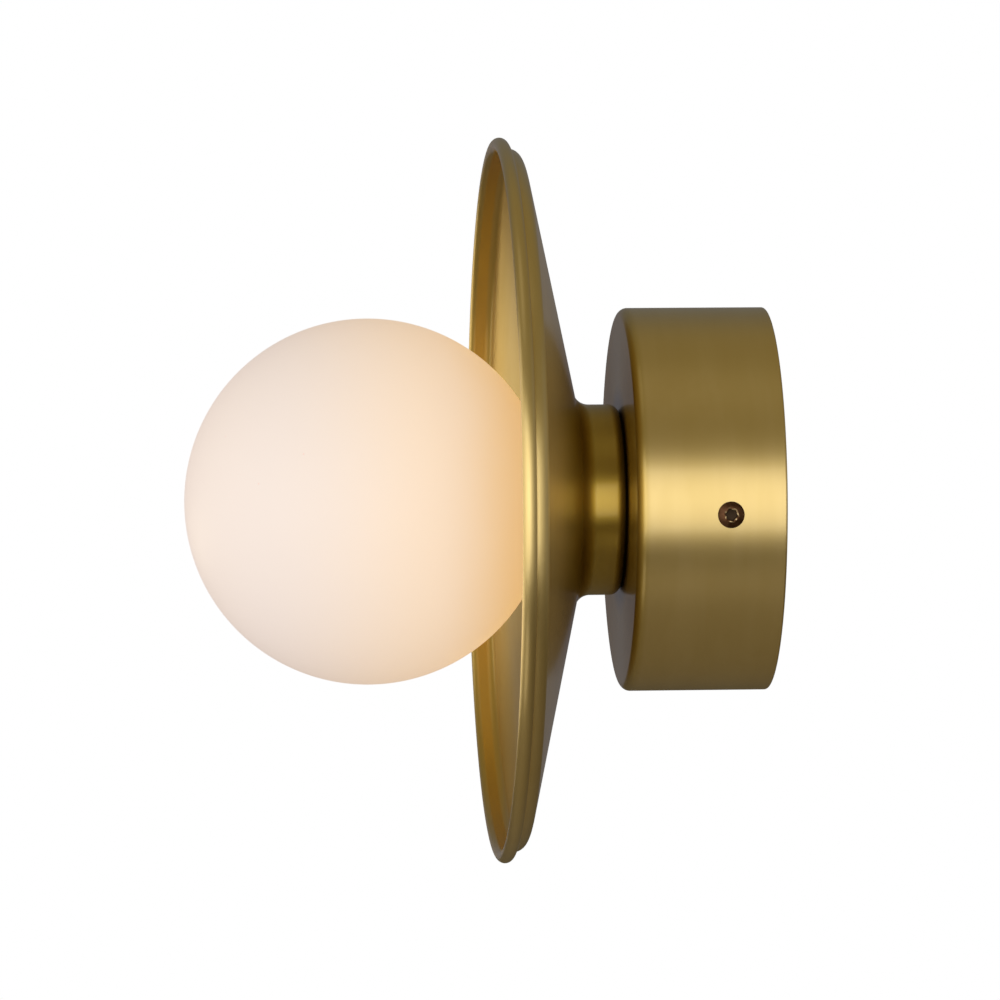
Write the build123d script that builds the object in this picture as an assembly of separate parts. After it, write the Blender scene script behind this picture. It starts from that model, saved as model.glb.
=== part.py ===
from build123d import *
import math
import os

# A globe wall lamp. Sizes are in millimetres. The wall is the plane y = 0 and the lamp stands out along -y.
# "Off the wall" means a distance d from that plane, so a point at d has y = -d.

# Canopy: the deep spun cup on the wall
canopy_diameter = 127.0
canopy_depth = 48.5
canopy_wall = 1.2
canopy_front_radius = 2.0
canopy_edge_radius = 0.8
canopy_least_rounding = 0.4

# Canopy screws: domed heads with a hexagon socket, on flat seats round the canopy's side
canopy_screw_count = 2
canopy_screw_off_wall = 18.4
screw_head_diameter = 8.6
screw_head_rise = 1.5
screw_head_edge = 0.4
screw_socket_width = 3.0
screw_socket_depth = 1.0
hexagon_sides = 6
screw_diameter = 4.0
screw_grip_past_tab = 1.5
screw_seat_margin = 0.2
hole_clearance = 0.2
thread_clearance = 0.05

# Wall bracket: a round plate with slots for the wall screws and bent, tapped tabs
bracket_diameter = 112.0
bracket_thickness = 2.0
bracket_bend_radius = 1.5
tab_width = 14.0
tab_height = 26.0
tab_clearance = 0.1
wire_hole_diameter = 24.0
wall_slot_spacing = 88.9
wall_slot_width = 5.0
wall_slot_length = 16.0

# Dish: one spun sheet, from the cup in its middle to the rolled bead at its lip. The cup leaves room round
# the gallery, and the lip's height is from the cone's edge to the middle of the bead.
dish_diameter = 240.0
dish_wall = 1.0
cup_room = 6.6
cup_height = 14.4
cup_corner_radius = 5.5
cup_fillet_radius = 5.5
cone_angle = 12.7
shoulder_radius = 4.0
lip_height = 5.9
bead_radius = 2.3

# Clamp stack on the hollow threaded nipple
nipple_wall = 1.5
nipple_hole_clearance = 0.2
nipple_past_nut = 1.5
nut_wall = 2.0
nut_height = 4.0
lock_washer_margin = 1.0
lock_washer_thickness = 0.8
stiffener_diameter = 60.0
stiffener_thickness = 2.0
bush_flange = 1.2
bush_wall = 0.8
bush_length = 6.0
bush_clearance = 0.1

# Gallery: the brass ring that the glass neck screws into
gallery_floor = 2.0
gallery_wall = 2.4
gallery_rim_radius = 0.5
lug_count = 3
lug_diameter = 1.8
lug_clearance = 0.4

# Globe: blown opal glass with a shoulder and a threaded neck
globe_diameter = 121.0
glass_wall = 2.5
neck_diameter = 40.0
neck_wall = 3.0
neck_end_gap = 3.5
neck_lip_radius = 0.8
glass_shoulder_step = 3.5
glass_shoulder_length = 7.25
glass_fillet_radius = 4.0
thread_pitch = 5.0
thread_turns = 1.5
thread_bead_radius = 1.2
thread_start = 2.0
thread_run_out = 0.3
neck_clearance = 0.4

# Gasket: the soft ring between the gallery's rim and the glass shoulder
gasket_thickness = 2.4
gasket_gap = 0.3
gasket_width = 3.6
gasket_edge_radius = 0.5

# Lamp holder on its bridge, and the pin-base bulb
bridge_thickness = 1.2
bridge_room = 0.8
bridge_width = 14.0
bridge_lead_room = 1.0
bridge_height = 15.0
holder_width = 22.0
holder_depth = 15.0
holder_height = 20.0
holder_corner_radius = 4.0
holder_edge_radius = 1.0
holder_screw_margin = 1.5
holder_screw_diameter = 2.5
holder_screw_head = 4.4
holder_screw_head_height = 1.6
holder_screw_grip = 5.0
pin_spacing = 9.0
pin_diameter = 2.0
pin_length = 8.0
pin_root = 3.0
pin_tip_radius = 0.5
pin_clearance = 0.06
contact_wall = 0.7
contact_length = 9.0
contact_recess = 1.0
bulb_base_width = 14.0
bulb_base_depth = 10.0
bulb_base_height = 6.0
bulb_base_corner = 2.5
bulb_collar_height = 5.0
bulb_diameter = 16.0
bulb_length = 42.0
bulb_glass_wall = 0.8
led_column_diameter = 9.0
led_column_length = 32.0
led_column_sides = 6

# Terminal block, leads and earth connection inside the canopy
pole_count = 3
pole_pitch = 10.0
block_length = 16.0
block_height = 12.0
block_edge_radius = 0.8
block_below_axis = 32.0
clamp_diameter = 5.2
clamp_bore = 3.2
clamp_recess = 1.0
clamp_off_plate = 6.0
clamp_screw_diameter = 3.0
clamp_screw_spacing = 7.0
clamp_screw_sink = 0.6
slot_cut = 0.7
pan_head_rounding = 0.4
tip_setback = 0.5
fixing_screw_diameter = 3.0
fixing_head_diameter = 4.6
fixing_head_height = 1.4
lead_diameter = 2.0
lead_gap = 0.4
lead_room = 0.4
lead_in_clamp = 7.0
lead_rise = 12.0
lead_join_off_wall = 27.0
lead_straight_at_holder = 3.0
earth_screw_diameter = 4.0
earth_head_diameter = 7.0
earth_head_height = 2.2
earth_ring_diameter = 8.0
earth_ring_thickness = 0.8
earth_barrel_diameter = 3.0
earth_barrel_length = 6.0
earth_barrel_lift = 0.1
bracket_earth_place = (24.0, 24.0)
stiffener_earth_margin = 6.0
stiffener_earth_angle = 41.6
earth_lead_bend = (3.0, -4.0, -1.0)
bend_share = 0.45

# Radii, from the inside out
lead_radius = lead_diameter / 2
lead_spacing = lead_diameter + lead_gap
bush_bore_radius = lead_spacing / 2 + lead_radius + lead_room
bush_radius = bush_bore_radius + bush_wall
nipple_bore_radius = bush_radius + bush_clearance
nipple_radius = nipple_bore_radius + nipple_wall
nipple_hole_radius = nipple_radius + nipple_hole_clearance
nut_width = 2 * (nipple_radius + nut_wall)
lock_washer_radius = nut_width / 2 + lock_washer_margin
neck_radius = neck_diameter / 2
neck_bore_radius = neck_radius - neck_wall
glass_shoulder_radius = neck_radius + glass_shoulder_step
thread_crest_radius = neck_radius + thread_bead_radius
gallery_bore_radius = thread_crest_radius + neck_clearance
gallery_radius = gallery_bore_radius + gallery_wall
cup_radius = gallery_radius + cup_room + dish_wall
dish_radius = dish_diameter / 2
rim_inner_radius = dish_radius - 2 * bead_radius
rim_outer_radius = rim_inner_radius + dish_wall
bead_centre_radius = dish_radius - bead_radius
globe_radius = globe_diameter / 2
canopy_radius = canopy_diameter / 2
canopy_inner_radius = canopy_radius - canopy_wall
screw_radius = screw_diameter / 2
screw_seat_radius = screw_head_diameter / 2 + screw_seat_margin
screw_seat = math.sqrt(canopy_radius**2 - screw_seat_radius**2)
tab_outer = math.sqrt((canopy_inner_radius - tab_clearance)**2 - (tab_width / 2)**2)
contact_radius = pin_diameter / 2 + pin_clearance + contact_wall

# Places along the axis, off the wall
face = canopy_depth
face_back = face - canopy_wall
stiffener_back = face_back - stiffener_thickness
rear_washer_back = stiffener_back - lock_washer_thickness
rear_nut_back = rear_washer_back - nut_height
nipple_rear = rear_nut_back - nipple_past_nut
cup_floor = face + dish_wall
cone_slope = math.tan(math.radians(cone_angle))
lip = face + cup_height + cone_slope * (rim_outer_radius - cup_radius) + lip_height
gallery_floor_top = cup_floor + gallery_floor
neck_end = gallery_floor_top + neck_end_gap
thread_foot = neck_end + thread_start
gallery_rim = thread_foot + thread_pitch * thread_turns + thread_bead_radius + thread_run_out
gasket_start = gallery_rim + gasket_gap
glass_shoulder = gasket_start + gasket_thickness + gasket_gap
ball_joint = glass_shoulder + glass_shoulder_length
globe_off_wall = ball_joint + math.sqrt(globe_radius**2 - glass_shoulder_radius**2)
bridge_top = gallery_floor_top + bridge_thickness
front_washer_top = bridge_top + lock_washer_thickness
front_nut_top = front_washer_top + nut_height
nipple_front = front_nut_top + nipple_past_nut
holder_seat = gallery_floor_top + bridge_height
holder_top = holder_seat + holder_height
contact_bottom = holder_top - contact_recess - contact_length
bulb_collar = holder_top + bulb_base_height
bulb_foot = bulb_collar + bulb_collar_height
clamp_off_wall = bracket_thickness + clamp_off_plate
block_top = bracket_thickness + block_height
fixing_seat = block_top - fixing_head_height

# Places across the lamp
bridge_half_span = math.sqrt((neck_bore_radius - bridge_room)**2 - (bridge_width / 2)**2)
bridge_flange_edge = pin_spacing / 2 + lead_radius + bridge_lead_room
holder_screw_place = bridge_flange_edge + holder_screw_margin
fixing_screw_place = (pole_pitch / 2, -block_below_axis)
earth_tag_reach = earth_ring_diameter / 2 + earth_barrel_length
earth_barrel_height = earth_barrel_diameter / 2 + earth_barrel_lift
stiffener_earth_radius = stiffener_diameter / 2 - stiffener_earth_margin
stiffener_earth_place = (stiffener_earth_radius * math.cos(math.radians(stiffener_earth_angle)),
                         stiffener_earth_radius * math.sin(math.radians(stiffener_earth_angle)))


def ring(inner, outer, start, end):
    """A plain ring about the lamp's axis, between two distances off the wall."""
    outline = Polyline((inner, -start), (outer, -start), (outer, -end), (inner, -end), close=True)
    return revolve(make_face(outline), Axis.Y)


def rounded_outline(corners):
    """A closed flat outline. Each corner is its radius, its distance off the wall and its rounding radius."""
    points = [(r, -d) for r, d, _ in corners]
    return make_face(FilletPolyline(*points, radius=[c for _, _, c in corners], close=True))


def turned(corners):
    """A turned piece with such an outline."""
    return revolve(rounded_outline(corners), Axis.Y)


def rod(start, end, radius):
    """A round bar between two points."""
    along = Vector(*end) - Vector(*start)
    return extrude(Plane(origin=start, z_dir=along) * Circle(radius), amount=along.length)


def at(x, off_wall, z):
    """A point from its place across the lamp and its distance off the wall."""
    return (x, -off_wall, z)


def wall_plane(off_wall):
    """The plane facing out from the wall at a distance, with x across and z up."""
    return Plane.XZ.offset(off_wall)


def around(piece, count):
    """Copies of a piece, evenly round the lamp's axis."""
    return [Rot(0, 360 * k / count, 0) * piece for k in range(count)]


def nearest_corner(outline, radius, off_wall):
    """The corner of a flat outline that lies nearest to a place in it."""
    return outline.vertices().sort_by_distance((radius, -off_wall, 0))[0]


def bend_radii(points):
    """The bend at each inner point of a lead: as large as the shorter of its two runs allows."""
    radii = []
    for before, here, after in zip(points, points[1:], points[2:]):
        run_in = Vector(*here) - Vector(*before)
        run_out = Vector(*after) - Vector(*here)
        half_turn = math.radians(run_in.get_angle(run_out) / 2)
        radii.append(bend_share * min(run_in.length, run_out.length) / math.tan(half_turn))
    return radii


def lead(points):
    """An insulated lead along straight runs joined by tangent bends."""
    path = FilletPolyline(*points, radius=bend_radii(points))
    return sweep(Plane(origin=path @ 0, z_dir=path % 0) * Circle(lead_radius), path=path)


def canopy_tab():
    """One bent tab of the wall bracket, on the +x side, with its tapped hole."""
    foot = bracket_diameter / 2 - tab_width / 2
    inside = tab_outer - bracket_thickness
    corners = [(foot, 0, 0), (tab_outer, 0, bracket_bend_radius + bracket_thickness),
               (tab_outer, tab_height, 0), (inside, tab_height, 0),
               (inside, bracket_thickness, bracket_bend_radius), (foot, bracket_thickness, 0)]
    tab = extrude(rounded_outline(corners), amount=tab_width / 2, both=True)
    hole = rod(at(foot, canopy_screw_off_wall, 0), at(canopy_radius, canopy_screw_off_wall, 0),
               screw_radius + thread_clearance)
    return tab - hole


def wall_bracket():
    plate = ring(wire_hole_diameter / 2, bracket_diameter / 2, 0, bracket_thickness)
    for tab in around(canopy_tab(), canopy_screw_count):
        plate += tab
    for side in (-1, 1):
        slot = Pos(side * wall_slot_spacing / 2, 0) * SlotOverall(wall_slot_length, wall_slot_width)
        plate -= extrude(wall_plane(0) * slot, amount=bracket_thickness)
    tapped_holes = ((bracket_earth_place, earth_screw_diameter), (fixing_screw_place, fixing_screw_diameter))
    for (x, z), hole in tapped_holes:
        plate -= rod(at(x, 0, z), at(x, bracket_thickness, z), hole / 2 + thread_clearance)
    return plate


def canopy():
    inside = canopy_inner_radius
    cup = turned([(nipple_hole_radius, face, 0), (canopy_radius, face, canopy_front_radius),
                  (canopy_radius, 0, canopy_edge_radius), (inside, 0, 0),
                  (inside, face_back, max(canopy_front_radius - canopy_wall, canopy_least_rounding)),
                  (nipple_hole_radius, face_back, 0)])
    past = canopy_radius + screw_head_rise
    middle = canopy_screw_off_wall
    hole = rod(at(tab_outer, middle, 0), at(past, middle, 0), screw_radius + hole_clearance)
    seat = rod(at(screw_seat, middle, 0), at(past, middle, 0), screw_seat_radius)
    for cut in around(hole + seat, canopy_screw_count):
        cup -= cut
    return cup


def canopy_screw():
    """One screw on the +x side: a domed head with a hexagon socket, and a shank that passes the tab."""
    head_radius = screw_head_diameter / 2
    tip = tab_outer - bracket_thickness - screw_grip_past_tab - screw_seat
    side = [(0, tip), (screw_radius, tip), (screw_radius, 0), (head_radius, 0),
            (head_radius, screw_head_edge)]
    dome_height = screw_head_rise - screw_head_edge
    dome_radius = (head_radius**2 + dome_height**2) / (2 * dome_height)
    dome = RadiusArc((head_radius, screw_head_edge), (0, screw_head_rise), -dome_radius)
    axis_line = Line((0, screw_head_rise), (0, tip))
    outline = make_face([*Polyline(*side).edges(), dome.edge(), axis_line.edge()])
    screw = revolve(outline, Axis.Y)
    socket = RegularPolygon(screw_socket_width / 2, hexagon_sides, major_radius=False)
    socket_plane = Plane.XZ.offset(screw_socket_depth - screw_head_rise)
    screw -= extrude(socket_plane * socket, amount=-screw_head_rise)
    return Pos(screw_seat, -canopy_screw_off_wall, 0) * Rot(0, 0, -90) * screw


def canopy_screws():
    return Compound(around(canopy_screw(), canopy_screw_count))


def stiffener_plate():
    plate = ring(nipple_hole_radius, stiffener_diameter / 2, stiffener_back, face_back)
    x, z = stiffener_earth_place
    tapped = earth_screw_diameter / 2 + thread_clearance
    return plate - rod(at(x, stiffener_back, z), at(x, face_back, z), tapped)


def nipple():
    return ring(nipple_bore_radius, nipple_radius, nipple_rear, nipple_front)


def nut(start):
    """A hexagon nut on the nipple."""
    hexagon = RegularPolygon(nut_width / 2, hexagon_sides, major_radius=False)
    hole = Circle(nipple_radius + thread_clearance)
    return extrude(wall_plane(start) * (hexagon - hole), amount=nut_height)


def lock_washer(start):
    """A washer under a nut."""
    return ring(nipple_hole_radius, lock_washer_radius, start, start + lock_washer_thickness)


def wire_bush():
    """A flanged bush in the rear end of the nipple, so its edge can't cut the leads."""
    flange_back = nipple_rear - bush_flange
    end = nipple_rear + bush_length
    return turned([(bush_bore_radius, flange_back, 0), (nipple_radius, flange_back, 0),
                   (nipple_radius, nipple_rear, 0), (bush_radius, nipple_rear, 0),
                   (bush_radius, end, 0), (bush_bore_radius, end, 0)])


def dish_shade():
    """The spun dish: cup, cone, shoulder and rim wall of one sheet, with a bead rolled out at the lip."""
    front_shift = dish_wall / math.cos(math.radians(cone_angle))

    def cone(radius):
        return face + cup_height + cone_slope * (radius - cup_radius)

    cup_inside = cup_radius - dish_wall
    bead_foot = lip - math.sqrt(bead_radius**2 - (bead_centre_radius - rim_outer_radius)**2)
    corners = [(rim_inner_radius, cone(rim_inner_radius) + front_shift, shoulder_radius - dish_wall),
               (cup_inside, cone(cup_inside) + front_shift, cup_fillet_radius + dish_wall),
               (cup_inside, cup_floor, cup_corner_radius - dish_wall), (nipple_hole_radius, cup_floor, 0),
               (nipple_hole_radius, face, 0), (cup_radius, face, cup_corner_radius),
               (cup_radius, cone(cup_radius), cup_fillet_radius),
               (rim_outer_radius, cone(rim_outer_radius), shoulder_radius)]
    lip_start = (rim_inner_radius, -lip)
    lip_end = (rim_outer_radius, -bead_foot)
    points = [(r, -d) for r, d, _ in corners]
    sheet = FilletPolyline(lip_start, *points, lip_end, radius=[c for _, _, c in corners])
    reach = bead_radius * math.sqrt(0.5)
    bead = ThreePointArc(lip_end, (bead_centre_radius + reach, -lip - reach), lip_start)
    return revolve(make_face([*sheet.edges(), bead.edge()]), Axis.Y)


def thread_path():
    """The right-hand helix on the glass neck, rising away from the wall."""
    return Helix(thread_pitch, thread_pitch * thread_turns, neck_radius, center=at(0, thread_foot, 0),
                 direction=(0, -1, 0))


def gallery():
    """A cup with lugs in its bore that run between the turns of the glass thread."""
    bore = gallery_bore_radius
    cup = turned([(nipple_hole_radius, cup_floor, 0), (gallery_radius, cup_floor, gallery_rim_radius),
                  (gallery_radius, gallery_rim, gallery_rim_radius), (bore, gallery_rim, gallery_rim_radius),
                  (bore, gallery_floor_top, 0), (nipple_hole_radius, gallery_floor_top, 0)])
    path = thread_path()
    for k in range(lug_count):
        on_thread = path @ (k / lug_count / thread_turns)
        outward = Vector(on_thread.X, 0, on_thread.Z).normalized()
        middle = Vector(0, on_thread.Y - thread_pitch / 2, 0)
        tip = middle + outward * (neck_radius + lug_clearance)
        root = middle + outward * (bore + gallery_wall / 2)
        cup += rod(tuple(tip), tuple(root), lug_diameter / 2)
    return cup


def globe():
    """The glass: a hollow ball, its shoulder and its neck, with the thread's bead round the neck."""
    inside_radius = globe_radius - glass_wall

    def stem(radius, start):
        length = globe_off_wall - start
        return Pos(radius / 2, -start - length / 2) * Rectangle(radius, length)

    centre = Pos(0, -globe_off_wall)
    solid_glass = centre * Circle(globe_radius)
    solid_glass += stem(glass_shoulder_radius, glass_shoulder) + stem(neck_radius, neck_end)
    hollow = centre * Circle(inside_radius) + stem(neck_bore_radius, neck_end)
    half = Pos(globe_radius / 2, -globe_off_wall) * Rectangle(globe_radius, 2 * globe_off_wall)
    outline = ((solid_glass - hollow) & half).face()
    inner_joint = globe_off_wall - math.sqrt(inside_radius**2 - neck_bore_radius**2)
    for radius, off_wall, rounding in ((glass_shoulder_radius, ball_joint, glass_fillet_radius),
                                       (neck_bore_radius, inner_joint, glass_fillet_radius),
                                       (neck_bore_radius, neck_end, neck_lip_radius),
                                       (neck_radius, neck_end, neck_lip_radius)):
        outline = outline.fillet_2d(rounding, [nearest_corner(outline, radius, off_wall)])
    path = thread_path()
    section = Plane(origin=path @ 0, z_dir=path % 0) * Circle(thread_bead_radius)
    return revolve(outline, Axis.Y) + sweep(section, path=path, is_frenet=True)


def globe_gasket():
    inner = neck_radius + gasket_gap
    outer = inner + gasket_width
    end = gasket_start + gasket_thickness
    return turned([(r, d, gasket_edge_radius) for r, d in
                   ((inner, gasket_start), (outer, gasket_start), (outer, end), (inner, end))])


def holder_bridge():
    """A strip clamped under the front nut, with two legs and flanges that carry the holder."""
    half = bridge_half_span
    inner = half - bridge_thickness
    edge = bridge_flange_edge
    top = holder_seat
    under = top - bridge_thickness
    right = [(half, gallery_floor_top), (half, top), (edge, top), (edge, under), (inner, under),
             (inner, bridge_top)]
    left = [(-x, d) for x, d in reversed(right)]
    outline = Polyline(*[(x, -d) for x, d in right + left], close=True)
    strip = extrude(make_face(outline), amount=bridge_width / 2, both=True)
    strip -= rod(at(0, gallery_floor_top, 0), at(0, bridge_top, 0), nipple_hole_radius)
    for side in (-1, 1):
        x = side * holder_screw_place
        strip -= rod(at(x, under, 0), at(x, top, 0), holder_screw_diameter / 2 + hole_clearance)
    return strip


def lamp_holder():
    """The ceramic body: holes for the contacts in front, and for the leads and the fixing screws behind."""
    foot = RectangleRounded(holder_width, holder_depth, holder_corner_radius)
    block = extrude(wall_plane(holder_seat) * foot, amount=holder_height)
    block = fillet(block.faces().sort_by(Axis.Y)[0].edges(), holder_edge_radius)
    for side in (-1, 1):
        pin_x = side * pin_spacing / 2
        screw_x = side * holder_screw_place
        for x, start, end, radius in ((pin_x, contact_bottom, holder_top, contact_radius),
                                      (pin_x, holder_seat, contact_bottom, lead_radius),
                                      (screw_x, holder_seat, holder_seat + holder_screw_grip,
                                       holder_screw_diameter / 2)):
            block -= rod(at(x, start, 0), at(x, end, 0), radius + thread_clearance)
    return block


def holder_contacts():
    bore = pin_diameter / 2 + pin_clearance
    tube = ring(bore, contact_radius, contact_bottom, contact_bottom + contact_length)
    return Compound([Pos(side * pin_spacing / 2, 0, 0) * tube for side in (-1, 1)])


def pan_screw(diameter, head_diameter, head_height, grip):
    """A slotted screw whose head stands on the origin along +z and whose shank goes down."""
    screw = Pos(0, 0, head_height / 2) * Cylinder(head_diameter / 2, head_height)
    screw = fillet(screw.faces().sort_by(Axis.Z)[-1].edges(), pan_head_rounding)
    screw += Pos(0, 0, -grip / 2) * Cylinder(diameter / 2, grip)
    return screw - Pos(0, 0, head_height) * Box(head_diameter, slot_cut, slot_cut)


def screwed(screw, x, off_wall, z, out_of_wall):
    """A screw whose head's underside is at a place, with the head towards the room or towards the wall."""
    direction = (0, -1, 0) if out_of_wall else (0, 1, 0)
    return Plane(origin=at(x, off_wall, z), x_dir=(1, 0, 0), z_dir=direction) * screw


def holder_screws():
    grip = holder_screw_grip + bridge_thickness - tip_setback
    screw = pan_screw(holder_screw_diameter, holder_screw_head, holder_screw_head_height, grip)
    under = holder_seat - bridge_thickness
    return Compound([screwed(screw, side * holder_screw_place, under, 0, False) for side in (-1, 1)])


def bulb_base():
    """The bulb's foot, a flat block under a round collar, with holes for its pins."""
    foot = RectangleRounded(bulb_base_width, bulb_base_depth, bulb_base_corner)
    base = extrude(wall_plane(holder_top) * foot, amount=bulb_base_height)
    base += ring(0, bulb_diameter / 2, bulb_collar, bulb_foot)
    for side in (-1, 1):
        x = side * pin_spacing / 2
        hole = pin_diameter / 2 + thread_clearance
        base -= rod(at(x, holder_top, 0), at(x, holder_top + pin_root, 0), hole)
    return base


def bulb_pins():
    pins = []
    for side in (-1, 1):
        x = side * pin_spacing / 2
        pin = rod(at(x, holder_top - pin_length, 0), at(x, holder_top + pin_root, 0), pin_diameter / 2)
        pins.append(fillet(pin.faces().sort_by(Axis.Y)[-1].edges(), pin_tip_radius))
    return Compound(pins)


def bulb_envelope():
    """The clear capsule: a tube with a round end."""
    outer = bulb_diameter / 2
    dome = bulb_foot + bulb_length - outer

    def capsule(radius):
        stem = Pos(radius / 2, -(bulb_foot + dome) / 2) * Rectangle(radius, dome - bulb_foot)
        cap = Pos(0, -dome) * Circle(radius) & Pos(radius / 2, -dome) * Rectangle(radius, 2 * radius)
        return stem + (cap - stem)

    return revolve(capsule(outer) - capsule(outer - bulb_glass_wall), Axis.Y)


def led_column():
    """The many-sided post that carries the light chips."""
    side = RegularPolygon(led_column_diameter / 2, led_column_sides)
    return extrude(wall_plane(bulb_foot) * side, amount=led_column_length)


def pole_places():
    """The poles' places across the lamp."""
    return [(k - (pole_count - 1) / 2) * pole_pitch for k in range(pole_count)]


def clamp_screw_places():
    heights = [-block_below_axis + side * clamp_screw_spacing / 2 for side in (-1, 1)]
    return [(x, z) for x in pole_places() for z in heights]


def terminal_block():
    middle = Pos(0, -block_below_axis)
    block = extrude(wall_plane(bracket_thickness) * middle * Rectangle(pole_count * pole_pitch, block_length),
                    amount=block_height)
    block = fillet(block.faces().sort_by(Axis.Y)[0].edges(), block_edge_radius)
    ends = [-block_below_axis + side * block_length / 2 for side in (-1, 1)]
    for x in pole_places():
        block -= rod(*[at(x, clamp_off_wall, z) for z in ends], clamp_diameter / 2 + thread_clearance)
    for x, z in clamp_screw_places():
        block -= rod(at(x, clamp_off_wall, z), at(x, block_top, z), clamp_screw_diameter / 2 + hole_clearance)
    x, z = fixing_screw_place
    for start, width in ((bracket_thickness, fixing_screw_diameter), (fixing_seat, fixing_head_diameter)):
        block -= rod(at(x, start, z), at(x, block_top, z), width / 2 + hole_clearance)
    return block


def terminal_clamps():
    half = block_length / 2 - clamp_recess
    clamps = []
    for x in pole_places():
        ends = [at(x, clamp_off_wall, -block_below_axis + side * half) for side in (-1, 1)]
        clamp = rod(*ends, clamp_diameter / 2) - rod(*ends, clamp_bore / 2)
        for screw_x, z in clamp_screw_places():
            if screw_x == x:
                tapped = clamp_screw_diameter / 2 + thread_clearance
                clamp -= rod(at(x, clamp_off_wall, z), at(x, block_top, z), tapped)
        clamps.append(clamp)
    return Compound(clamps)


def terminal_screws():
    """Grub screws that press on the leads, a little below the block's top."""
    foot = clamp_off_wall + lead_radius + thread_clearance
    head = block_top - clamp_screw_sink
    screws = []
    for x, z in clamp_screw_places():
        screw = rod(at(x, foot, z), at(x, head, z), clamp_screw_diameter / 2)
        screws.append(screw - Pos(*at(x, head, z)) * Box(clamp_screw_diameter, slot_cut, slot_cut))
    return Compound(screws)


def terminal_fixing_screw():
    grip = fixing_seat - tip_setback
    screw = pan_screw(fixing_screw_diameter, fixing_head_diameter, fixing_head_height, grip)
    x, z = fixing_screw_place
    return screwed(screw, x, fixing_seat, z, True)


def supply_lead(pole, side):
    """A lead from a clamp, through the nipple, to the holder's contact on the same side."""
    entry = -block_below_axis + block_length / 2
    through = side * lead_spacing / 2
    contact_x = side * pin_spacing / 2
    return lead([at(pole, clamp_off_wall, entry - lead_in_clamp), at(pole, clamp_off_wall, entry + lead_rise),
                 at(through, lead_join_off_wall, 0), at(through, nipple_front, 0),
                 at(contact_x, holder_seat - lead_straight_at_holder, 0), at(contact_x, contact_bottom, 0)])


def ring_terminal():
    """A ring terminal lying on the origin's plane, with its barrel towards -x, clear of the screw's head."""
    hole = earth_screw_diameter / 2 + hole_clearance
    tag = extrude(Circle(earth_ring_diameter / 2) - Circle(hole), amount=earth_ring_thickness)
    start = (-earth_head_diameter / 2 - hole_clearance, 0, earth_barrel_height)
    return tag + rod(start, (-earth_tag_reach, 0, earth_barrel_height), earth_barrel_diameter / 2)


def earth_places():
    """The two earth points: place, surface off the wall, thickness of what is tapped, facing out or not."""
    return [(*bracket_earth_place, bracket_thickness, bracket_thickness, True),
            (*stiffener_earth_place, stiffener_back, stiffener_thickness, False)]


def earth_terminals():
    return Compound([screwed(ring_terminal(), x, d, z, out) for x, z, d, _, out in earth_places()])


def earth_screws():
    screws = []
    for x, z, d, thickness, out in earth_places():
        seat = d + earth_ring_thickness if out else d - earth_ring_thickness
        grip = earth_ring_thickness + thickness - tip_setback
        screw = pan_screw(earth_screw_diameter, earth_head_diameter, earth_head_height, grip)
        screws.append(screwed(screw, x, seat, z, out))
    return Compound(screws)


def earth_lead():
    (x1, z1), (x2, z2) = bracket_earth_place, stiffener_earth_place
    low = bracket_thickness + earth_barrel_height
    high = stiffener_back - earth_barrel_height
    bend_in, bow, bend_out = earth_lead_bend
    return lead([at(x1 - earth_tag_reach, low, z1), at(bend_in, low, z1),
                 at(bow, (low + high) / 2, (z1 + z2) / 2),
                 at(bend_out, high, z2), at(x2 - earth_tag_reach, high, z2)])


nodes = {
    "wall_bracket": wall_bracket(),
    "canopy": canopy(),
    "canopy_screws": canopy_screws(),
    "stiffener_plate": stiffener_plate(),
    "nipple": nipple(),
    "rear_lock_washer": lock_washer(rear_washer_back),
    "rear_nut": nut(rear_nut_back),
    "front_lock_washer": lock_washer(bridge_top),
    "front_nut": nut(front_washer_top),
    "wire_bush": wire_bush(),
    "dish_shade": dish_shade(),
    "gallery": gallery(),
    "globe_gasket": globe_gasket(),
    "globe": globe(),
    "holder_bridge": holder_bridge(),
    "lamp_holder": lamp_holder(),
    "holder_contacts": holder_contacts(),
    "holder_screws": holder_screws(),
    "bulb_base": bulb_base(),
    "bulb_pins": bulb_pins(),
    "bulb_envelope": bulb_envelope(),
    "led_column": led_column(),
    "terminal_block": terminal_block(),
    "terminal_clamps": terminal_clamps(),
    "terminal_screws": terminal_screws(),
    "terminal_fixing_screw": terminal_fixing_screw(),
    "live_lead": supply_lead(pole_places()[0], -1),
    "neutral_lead": supply_lead(pole_places()[-1], 1),
    "earth_terminals": earth_terminals(),
    "earth_screws": earth_screws(),
    "earth_lead": earth_lead(),
}

os.makedirs("parts", exist_ok=True)
for name, shape in nodes.items():
    export_step(shape, f"parts/{name}.step")
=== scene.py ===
import math

import bpy
import numpy as np
from mathutils import Matrix


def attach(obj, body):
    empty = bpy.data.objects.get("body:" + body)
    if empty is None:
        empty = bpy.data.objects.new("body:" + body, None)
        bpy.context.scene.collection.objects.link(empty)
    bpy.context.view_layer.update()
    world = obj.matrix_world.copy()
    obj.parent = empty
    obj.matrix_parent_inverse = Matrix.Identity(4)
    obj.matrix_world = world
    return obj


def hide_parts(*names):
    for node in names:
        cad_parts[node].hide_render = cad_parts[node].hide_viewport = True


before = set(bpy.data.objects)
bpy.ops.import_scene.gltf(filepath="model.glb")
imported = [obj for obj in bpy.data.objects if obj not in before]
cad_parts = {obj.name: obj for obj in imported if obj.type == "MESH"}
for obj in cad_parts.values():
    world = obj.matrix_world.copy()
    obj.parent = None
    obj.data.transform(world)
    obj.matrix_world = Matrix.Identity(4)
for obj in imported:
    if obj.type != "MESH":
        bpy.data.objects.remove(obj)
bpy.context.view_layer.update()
print("frame loaded:", len(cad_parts), "pieces")

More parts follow.
